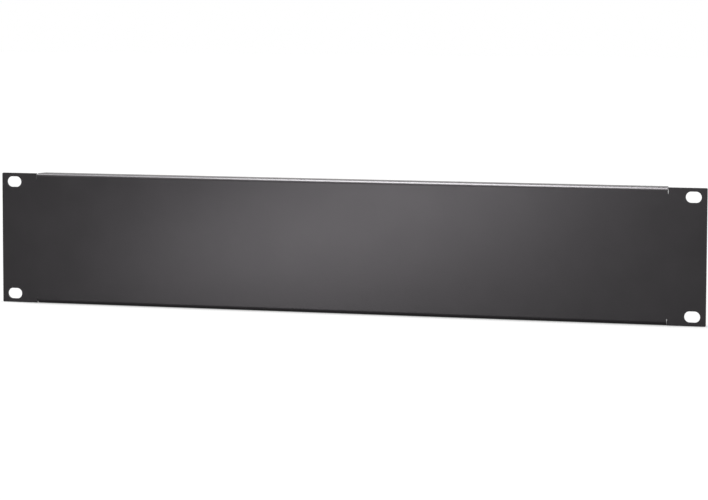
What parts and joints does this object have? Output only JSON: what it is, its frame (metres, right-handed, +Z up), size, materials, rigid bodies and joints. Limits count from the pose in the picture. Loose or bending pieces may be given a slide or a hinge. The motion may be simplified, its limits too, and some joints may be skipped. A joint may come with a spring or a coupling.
{
  "type": "rack blanking panel",
  "caption": "Flat sheet-steel filler panel for a 19-inch rack, with slotted ears and its long edges folded back into shallow flanges.",
  "frame": {"origin": "centre of the four mounting slots, on the rear face of the sheet that seats on the rack rails", "axes": "+X along the panel, +Y backwards into the rack, +Z up; the show face looks along -Y"},
  "size_m": [0.4826, 0.012, 0.0882],
  "materials": {
    "powder_coat": "satin black powder coat with a fine texture"
  },
  "bodies": {
    "root": {"blanking_panel": "powder_coat"}
  },
  "joints": []
}
